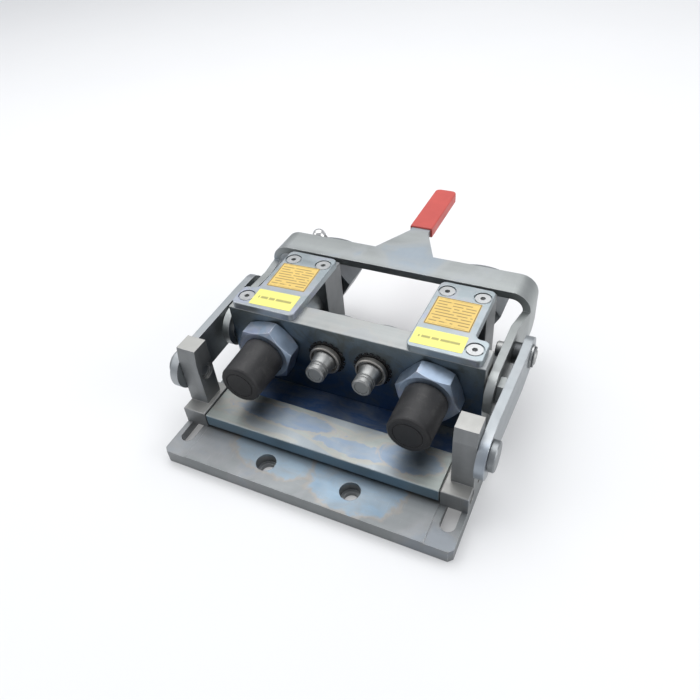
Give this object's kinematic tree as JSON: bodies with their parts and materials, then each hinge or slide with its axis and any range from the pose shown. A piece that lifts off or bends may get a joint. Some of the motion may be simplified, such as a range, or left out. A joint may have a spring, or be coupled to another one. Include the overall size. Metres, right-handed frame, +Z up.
{
  "type": "hydraulic multi-coupling with bail lever",
  "caption": "Lever-operated hydraulic multi-coupling, fixed half: base plate, coupling plate with large and small couplings, sliding carriage, side links and bail lever.",
  "frame": {"origin": "middle of the base plate's front edge, on its underside", "axes": "+X to the right seen from the front, +Y to the back towards the lever's handle, +Z up"},
  "size_m": [0.3328, 0.418, 0.113],
  "materials": {
    "ground_steel": "satin, zinc plated, with faint blue and tan iridescent patches",
    "pale_steel": "satin, lightly brushed",
    "zinc_nut": "blue zinc plate",
    "bright_steel": "polished turned surfaces",
    "lever_steel": "blue zinc plate, smooth",
    "dark_steel": "oiled",
    "spring_steel": "drawn wire",
    "label_plate_metal": "zinc plate under plain printed labels",
    "black_rubber": "matte moulded rubber",
    "coral_grip": "soft satin dipped plastic"
  },
  "bodies": {
    "frame": {"base_plate": "ground_steel", "base_screws": "dark_steel", "coupling_plate": "pale_steel", "rear_block_left": "pale_steel", "rear_block_right": "pale_steel", "label_plate_left": "label_plate_metal", "label_plate_right": "label_plate_metal", "label_screws": "bright_steel", "barrel_left": "lever_steel", "barrel_right": "lever_steel", "lock_nut_left": "zinc_nut", "lock_nut_right": "zinc_nut", "valve_guide_left": "dark_steel", "valve_guide_right": "dark_steel", "valve_spring_left": "spring_steel", "valve_spring_right": "spring_steel", "adapter_left": "zinc_nut", "adapter_right": "zinc_nut", "nipple_left": "bright_steel", "nipple_right": "bright_steel", "face_spring_left": "spring_steel", "face_spring_right": "spring_steel", "collar_left": "bright_steel", "collar_right": "bright_steel", "tooth_ring_left": "zinc_nut", "tooth_ring_right": "zinc_nut", "nipple_nut_left": "zinc_nut", "nipple_nut_right": "zinc_nut", "test_point": "bright_steel", "pivot_bolts": "lever_steel", "pivot_washers": "lever_steel"},
    "bail": {"bail": "lever_steel", "grip": "coral_grip", "rear_pin_left": "bright_steel", "rear_pin_right": "bright_steel", "spacer_left": "lever_steel", "spacer_right": "lever_steel", "rear_washers": "lever_steel", "circlips": "lever_steel"},
    "carriage": {"carriage_bar": "ground_steel", "foot_block_left": "ground_steel", "foot_block_right": "ground_steel", "bar_screws": "dark_steel", "guide_screws": "dark_steel", "front_pin_left": "bright_steel", "front_pin_right": "bright_steel"},
    "link_left": {"link_left": "lever_steel"},
    "link_right": {"link_right": "lever_steel"},
    "cap_left": {"cap_left": "black_rubber"},
    "cap_right": {"cap_right": "black_rubber"},
    "poppet_left": {"poppet_left": "dark_steel"},
    "poppet_right": {"poppet_right": "dark_steel"},
    "face_valve_left": {"face_valve_left": "bright_steel"},
    "face_valve_right": {"face_valve_right": "bright_steel"},
    "test_cap": {"test_cap": "bright_steel"}
  },
  "joints": [
    {"name": "bail_pivot", "type": "hinge", "parent": "frame", "child": "bail", "pos_m": [0, 0.143, 0.07], "axis": [1, 0, 0], "range_deg": [0, 75]},
    {"name": "carriage_slide", "type": "slide", "parent": "frame", "child": "carriage", "axis": [0, -1, 0], "range_m": [0, 0.0245]},
    {"name": "link_left_hinge", "type": "hinge", "parent": "bail", "child": "link_left", "pos_m": [-0.156, 0.199, 0.07], "axis": [1, 0, 0], "range_deg": [-49, 0]},
    {"name": "link_right_hinge", "type": "hinge", "parent": "bail", "child": "link_right", "pos_m": [0.156, 0.199, 0.07], "axis": [1, 0, 0], "range_deg": [-49, 0]},
    {"name": "cap_left_pull", "type": "slide", "parent": "frame", "child": "cap_left", "axis": [0, -1, 0], "range_m": [0, 0.045]},
    {"name": "poppet_left_stroke", "type": "slide", "parent": "frame", "child": "poppet_left", "axis": [0, 1, 0], "range_m": [0, 0.007], "stiffness_N_per_m": 1500, "springref_m": -0.004, "deforming": ["valve_spring_left"]},
    {"name": "face_valve_left_stroke", "type": "slide", "parent": "frame", "child": "face_valve_left", "axis": [0, 1, 0], "range_m": [0, 0.005], "stiffness_N_per_m": 900, "springref_m": -0.003, "deforming": ["face_spring_left"]},
    {"name": "cap_right_pull", "type": "slide", "parent": "frame", "child": "cap_right", "axis": [0, -1, 0], "range_m": [0, 0.045]},
    {"name": "poppet_right_stroke", "type": "slide", "parent": "frame", "child": "poppet_right", "axis": [0, 1, 0], "range_m": [0, 0.007], "stiffness_N_per_m": 1500, "springref_m": -0.004, "deforming": ["valve_spring_right"]},
    {"name": "face_valve_right_stroke", "type": "slide", "parent": "frame", "child": "face_valve_right", "axis": [0, 1, 0], "range_m": [0, 0.005], "stiffness_N_per_m": 900, "springref_m": -0.003, "deforming": ["face_spring_right"]},
    {"name": "test_cap_pull", "type": "slide", "parent": "frame", "child": "test_cap", "axis": [-0.6088, 0, 0.7934], "range_m": [0, 0.015]}
  ],
  "couplings": [
    {"joint": "carriage_slide", "follows": "bail_pivot", "m_per_rad": 0.018368},
    {"joint": "link_left_hinge", "follows": "bail_pivot", "ratio": -0.64533},
    {"joint": "link_right_hinge", "follows": "bail_pivot", "ratio": -0.64533}
  ]
}
